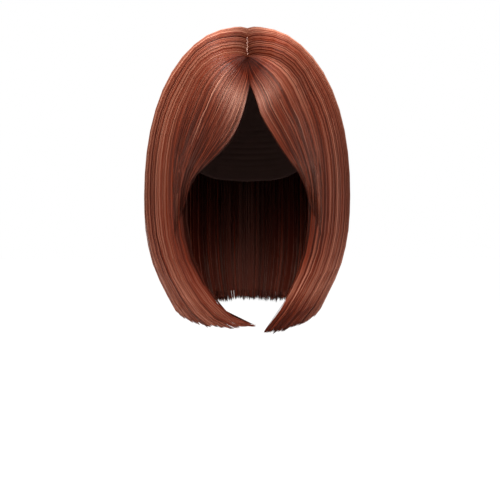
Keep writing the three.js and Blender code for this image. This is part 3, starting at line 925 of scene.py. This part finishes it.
def darker(colour, share):
    """A share of a colour."""
    return tuple(channel * share for channel in colour)


def bumps(tree, height, strength, distance):
    """Normals of bumps made from a height, as a socket."""
    bump = add_node(tree, "Bump", {"Strength": strength, "Distance": distance, "Height": height})
    return bump.outputs["Normal"]


def map_values(tree, map_name):
    """The values of a piece's UV map, as a socket."""
    return add_node(tree, "UVMap", {}, uv_map=map_name).outputs["UV"]


def hair_material(hair):
    """Silky fibre: colour by the strand's tone, darker and dull at the root, with painted shade there and
    over the crown and painted light on the hang, and less shiny lower down.
    """
    if HAIR_MATERIAL in bpy.data.materials:
        return bpy.data.materials[HAIR_MATERIAL]
    material, tree, shader = new_material(HAIR_MATERIAL)
    split = add_node(tree, "SeparateXYZ", {0: map_values(tree, "strand")})
    tone, along = split.outputs["X"], split.outputs["Y"]
    colours = (hair.shadow_colour, hair.deep_colour, hair.mid_colour, hair.light_colour, hair.bright_colour)
    crown = grey(hair.crown_shade)
    # Darker roots with painted shade, the crown darker than the hang as painted light on the lower locks,
    # then the tips' tint
    shade_by_length = ((0, darker(crown, ROOT_DARK)), (0.1, crown), (0.56, crown), (0.8, hair.tip_tint))
    colour = ramp_colour(tree, tone, tuple(zip((0, 0.25, 0.5, 0.75, 1), colours)))
    both = {"Factor": 1, "A": colour, "B": ramp_colour(tree, along, shade_by_length)}
    shade = add_node(tree, "Mix", both, data_type="RGBA", blend_type="MULTIPLY")
    dull, silky, tip = grey(hair.root_roughness), grey(hair.roughness), grey(hair.tip_roughness)
    shares = ((0, 0), (0.1, 0.04), (0.18, 1), (0.3, 1), (0.5, hair.lower_shine))
    shine = tuple((place, grey(hair.shine * share)) for place, share in shares)
    feed(tree, shader, {
        "Base Color": shade.outputs["Result"],
        "Roughness": ramp_colour(tree, along, ((0, dull), (0.2, silky), (1, tip))),
        "Specular IOR Level": ramp_colour(tree, along, shine),
        "Specular Tint": (*hair.shine_colour, 1),
    })
    return material


def net_material(cap):
    """Stretch net: fine crossing threads, the greater of two slanted waves, as colour and bump."""
    material, tree, shader = new_material("cap_net")
    scale = add_node(tree, "Mapping", {"Scale": (260, 100, 1), "Vector": map_values(tree, "weave")})
    waves = {}
    for thread, turn in enumerate((45, -45)):
        slant = {"Rotation": (0, 0, turn * DEGREE), "Vector": scale.outputs["Vector"]}
        place = add_node(tree, "Mapping", slant).outputs["Vector"]
        wave = {"Scale": 0.5, "Distortion": 0.4, "Vector": place}
        waves[thread] = add_node(tree, "TexWave", wave).outputs["Fac"]
    threads = add_node(tree, "Math", waves, operation="MAXIMUM").outputs["Value"]
    stops = ((0.35, darker(cap.net_colour, 0.35)), (0.9, cap.net_colour))
    feed(tree, shader, {
        "Base Color": ramp_colour(tree, threads, stops),
        "Normal": bumps(tree, threads, 0.6, 0.0004),
        "Roughness": 0.85,
        "Specular IOR Level": 0.2,
    })
    return material


def part_material(cap):
    """Skin-coloured cloth: a fine speckle of knots where strands are tied in, as colour and bump."""
    material, tree, shader = new_material("part_cloth")
    place = add_node(tree, "TexCoord", {}).outputs["Object"]
    knots = add_node(tree, "TexVoronoi", {"Scale": 700, "Vector": place}).outputs["Distance"]
    stops = ((0.12, darker(cap.part_colour, 0.55)), (0.3, cap.part_colour))
    feed(tree, shader, {
        "Base Color": ramp_colour(tree, knots, stops),
        "Normal": bumps(tree, knots, 0.4, 0.0003),
        "Roughness": 0.6,
    })
    return material


def number(name, description, default, **kind):
    """A setting of one number, with its unit or subtype where one fits."""
    return bpy.props.FloatProperty(name=name, description=description, default=default, **kind)


metres = partial(number, unit="LENGTH")
factor = partial(number, subtype="FACTOR")
watts = partial(number, unit="POWER")


def whole(name, description, default):
    """A setting of one number of strands."""
    return bpy.props.IntProperty(name=name, description=description, default=default, min=100)


def tint(name, description, default):
    """A setting of one colour."""
    return bpy.props.FloatVectorProperty(
        name=name, description=description, subtype="COLOR", size=3, min=0, max=1, default=default
    )


class WigHairSettings(bpy.types.PropertyGroup):
    """Sizes and colours of the hair."""

    side_strands: whole("Side strands", "Strands in the long hair of each side", 1580)
    back_strands: whole("Back strands", "Strands in each half of the back", 790)
    fringe_strands: whole("Fringe strands", "Strands in each half of the fringe", 1900)
    strand_radius: metres("Strand radius", "Radius of a strand in its middle", 0.0005)
    fringe_feather: metres("Fringe feather", "How unevenly the fringe's strands end", 0.014)
    # Darker roots with painted shade where the fringe leaves the part
    fringe_root_dark_and_shade: factor("Fringe roots", "How much darker the fringe is at its roots", 0.37)
    stray_share: factor("Stray share", "Share of strands that stray", 0.02)
    inner_shorter: metres("Inner shorter", "How much shorter the innermost strands are", 0.002)
    shell_end: factor("Shell end", "How far down the hang the inner layer goes", 0.9)
    shell_face_end: factor("Shell end at the face", "How far down it goes at the face", 0.6)
    # The inner layer's tone is painted shade
    shell_shade_tone: factor("Shell tone", "Tone of the inner layer", 0.15)
    shadow_colour: tint("Shadow", "Darkest strands", (0.011, 0.0014, 0.0007))
    deep_colour: tint("Deep", "Deep burgundy strands", (0.035, 0.0045, 0.0018))
    mid_colour: tint("Mid", "Auburn strands", (0.097, 0.0146, 0.0054))
    light_colour: tint("Light", "Copper strands", (0.172, 0.061, 0.036))
    bright_colour: tint("Bright", "Lightest copper strands", (0.35, 0.152, 0.1))
    # Painted light and shade: the crown keeps this share of its colour and the lower hang keeps all of it
    crown_shade: factor("Crown", "Share of its colour left over the crown", 0.74)
    tip_tint: tint("Tip tint", "Share of its colour left at the tips", (1, 0.86, 0.84))
    root_roughness: factor("Root roughness", "Roughness at the root", 0.5)
    roughness: factor("Roughness", "Roughness where the fibre is silkiest", 0.34)
    tip_roughness: factor("Tip roughness", "Roughness at the tip", 0.36)
    shine: factor("Shine", "Specular level of the fibre", 0.3)
    lower_shine: factor("Lower shine", "Share of the shine left lower down", 0.65)
    shine_colour: tint("Shine colour", "Tint of the fibre's shine", (1.0, 0.58, 0.44))
    seed: bpy.props.IntProperty(name="Seed", description="Seed of the strands' places", default=7)


class WigCapSettings(bpy.types.PropertyGroup):
    """Sizes and colours of the cap and the part strip."""

    net_colour: tint("Net", "Colour of the net", (0.1, 0.05, 0.04))
    part_colour: tint("Part", "Colour of the part strip", (0.34, 0.17, 0.12))
    band_width: metres("Band width", "Width of the band round the rim", 0.009)
    weft_spacing: metres("Weft spacing", "Distance between rows of weft", 0.0095)
    weft_height: metres("Weft height", "How far a row of weft stands up", 0.0006)


class WigStageSettings(bpy.types.PropertyGroup):
    """Camera, floor and light."""

    camera_distance: metres("Camera distance", "From the camera to the wig's middle", 1.8)
    camera_level: metres("Camera level", "Height of the camera", -0.2237)
    camera_across: metres("Camera across", "Sideways place of the camera", 0.0026)
    view_width: metres("View width", "Width of the view at the wig's middle", 0.515)
    floor_drop: metres("Floor drop", "From the longest tips down to the floor", 0.15)
    floor_colour: tint("Floor", "Colour of the floor", (0.15, 0.15, 0.15))
    floor_glow: number("Floor glow", "Light that the floor gives off", 1.0)
    surround: number("Surround", "Brightness of the surround as it is seen", 1.0)
    fill: number("Fill", "Soft light that the surround gives", 0.1)
    key_power: watts("Key light", "Power of the light above the front", 66.0)
    top_power: watts("Top light", "Power of the light over the crown", 195.0)
    side_power: watts("Side lights", "Power of the stronger side light", 14.0)


class WIG_OT_cap(bpy.types.Operator):
    """Makes the net cap and the skin-coloured part strip on it"""

    bl_idname = "wig.make_cap"
    bl_label = "Cap and part strip"

    def execute(self, context):
        cap = context.scene.wig_cap
        add_piece("net_cap", cap_shape(cap), "weave", net_material(cap), "cap")
        add_piece("part_cloth", strip_shape(), "weave", part_material(cap), "part_strip")
        return {"FINISHED"}


def add_hair(node, parts, hair):
    """A piece of hair, joined from its parts, in place of a solid."""
    add_piece(node + "_hair", joined(parts), "strand", hair_material(hair), node)


class WIG_OT_sides(bpy.types.Operator):
    """Makes the long hair of both sides"""

    bl_idname = "wig.make_sides"
    bl_label = "Side hair"

    def execute(self, context):
        hair = context.scene.wig_hair
        for side in SIDE_SIGN:
            add_hair("side_" + side, long_panel("side", side, hair), hair)
        return {"FINISHED"}


class WIG_OT_back(bpy.types.Operator):
    """Makes the long hair at the back"""

    bl_idname = "wig.make_back"
    bl_label = "Back hair"

    def execute(self, context):
        hair = context.scene.wig_hair
        halves = [long_panel("back", side, hair) for side in SIDE_SIGN]
        add_hair("back", sum(halves, []), hair)
        return {"FINISHED"}


class WIG_OT_fringe(bpy.types.Operator):
    """Makes both halves of the fringe"""

    bl_idname = "wig.make_fringe"
    bl_label = "Fringe"

    def execute(self, context):
        hair = context.scene.wig_hair
        for side in SIDE_SIGN:
            strands = fringe_strands(seeded(hair, FRINGE_SEED, side), side, hair.fringe_strands, hair)
            add_hair("fringe_" + side, (strands, fringe_shell(side, hair)), hair)
        return {"FINISHED"}


def add_light(name, place, target, width, height, power):
    """A soft light of a width and height at a place, turned towards a target."""
    light = bpy.data.lights.new(name, "AREA")
    light.shape = "RECTANGLE"
    light.size = width
    light.size_y = height
    light.energy = power
    lamp = add_object(name, light)
    lamp.location = place
    lamp.rotation_euler = (Vector(target) - Vector(place)).to_track_quat("-Z", "Y").to_euler()


def seen_strength(tree, lighting, seen):
    """A strength for light that is seen at one strength and lights the wig at another, as a socket."""
    path = add_node(tree, "LightPath", {})
    levels = {"To Min": lighting, "To Max": seen, "Value": path.outputs["Is Camera Ray"]}
    return add_node(tree, "MapRange", levels).outputs["Result"]


class WIG_OT_stage(bpy.types.Operator):
    """Makes the floor, the soft light and the camera"""

    bl_idname = "wig.make_stage"
    bl_label = "Stage"

    def execute(self, context):
        scene = context.scene
        stage = scene.wig_stage
        low, high = CAD_BOX
        middle = (low + high) / 2
        mesh = bpy.data.meshes.new("floor")
        level = low.z - stage.floor_drop
        signs = ((-1, -1), (1, -1), (1, 1), (-1, 1))
        corners = [(x * FLOOR_REACH, y * FLOOR_REACH, level) for x, y in signs]
        mesh.from_pydata(corners, [], [(0, 1, 2, 3)])
        floor = add_object("floor", mesh)
        material, tree, shader = new_material("pale_floor")
        feed(tree, shader, {
            "Base Color": (*stage.floor_colour, 1),
            "Roughness": 0.9,
            "Emission Color": (1, 1, 1, 1),
            "Emission Strength": seen_strength(tree, 0, stage.floor_glow),
        })
        mesh.materials.append(material)

        world = bpy.data.worlds.new("surround")
        world.use_nodes = True
        tree = world.node_tree
        strength = seen_strength(tree, stage.fill, stage.surround)
        feed(tree, tree.nodes["Background"], {"Color": (1, 1, 1, 1), "Strength": strength})
        scene.world = world
        for name, (place, size, power, share) in LIGHTS.items():
            add_light(name, place, middle, *size, getattr(stage, power) * share)

        camera = bpy.data.cameras.new("camera")
        camera.sensor_width = 36
        camera.lens = camera.sensor_width * stage.camera_distance / stage.view_width
        view = add_object("camera", camera)
        view.location = (stage.camera_across, -stage.camera_distance, stage.camera_level)
        view.rotation_euler = (math.pi / 2, 0, 0)
        scene.camera = view
        scene.view_settings.view_transform = "Standard"
        return {"FINISHED"}


OPERATORS = (WIG_OT_cap, WIG_OT_sides, WIG_OT_back, WIG_OT_fringe, WIG_OT_stage)


class WIG_PT_panel(bpy.types.Panel):
    """Lists the wig's pieces and their settings"""

    bl_idname = "WIG_PT_panel"
    bl_label = "Straight bob wig"
    bl_space_type = "VIEW_3D"
    bl_region_type = "UI"
    bl_category = "Wig"

    def draw(self, context):
        for operator in OPERATORS:
            self.layout.operator(operator.bl_idname)
        for settings in (context.scene.wig_hair, context.scene.wig_cap, context.scene.wig_stage):
            box = self.layout.box()
            for name in settings.bl_rna.properties.keys():
                if name not in ("rna_type", "name"):
                    box.prop(settings, name)


SETTINGS = {"wig_hair": WigHairSettings, "wig_cap": WigCapSettings, "wig_stage": WigStageSettings}
CLASSES = (*SETTINGS.values(), *OPERATORS, WIG_PT_panel)


def register():
    """Registers the classes and puts the settings on the scene."""
    for cls in CLASSES:
        bpy.utils.register_class(cls)
    for name, cls in SETTINGS.items():
        setattr(bpy.types.Scene, name, bpy.props.PointerProperty(type=cls))


def unregister():
    """Takes the settings off the scene and unregisters the classes."""
    for name in SETTINGS:
        delattr(bpy.types.Scene, name)
    for cls in reversed(CLASSES):
        bpy.utils.unregister_class(cls)


def main():
    """Makes every piece and the stage."""
    register()
    bpy.ops.wig.make_cap()
    bpy.ops.wig.make_sides()
    bpy.ops.wig.make_back()
    bpy.ops.wig.make_fringe()
    bpy.ops.wig.make_stage()


if __name__ == "__main__":
    main()
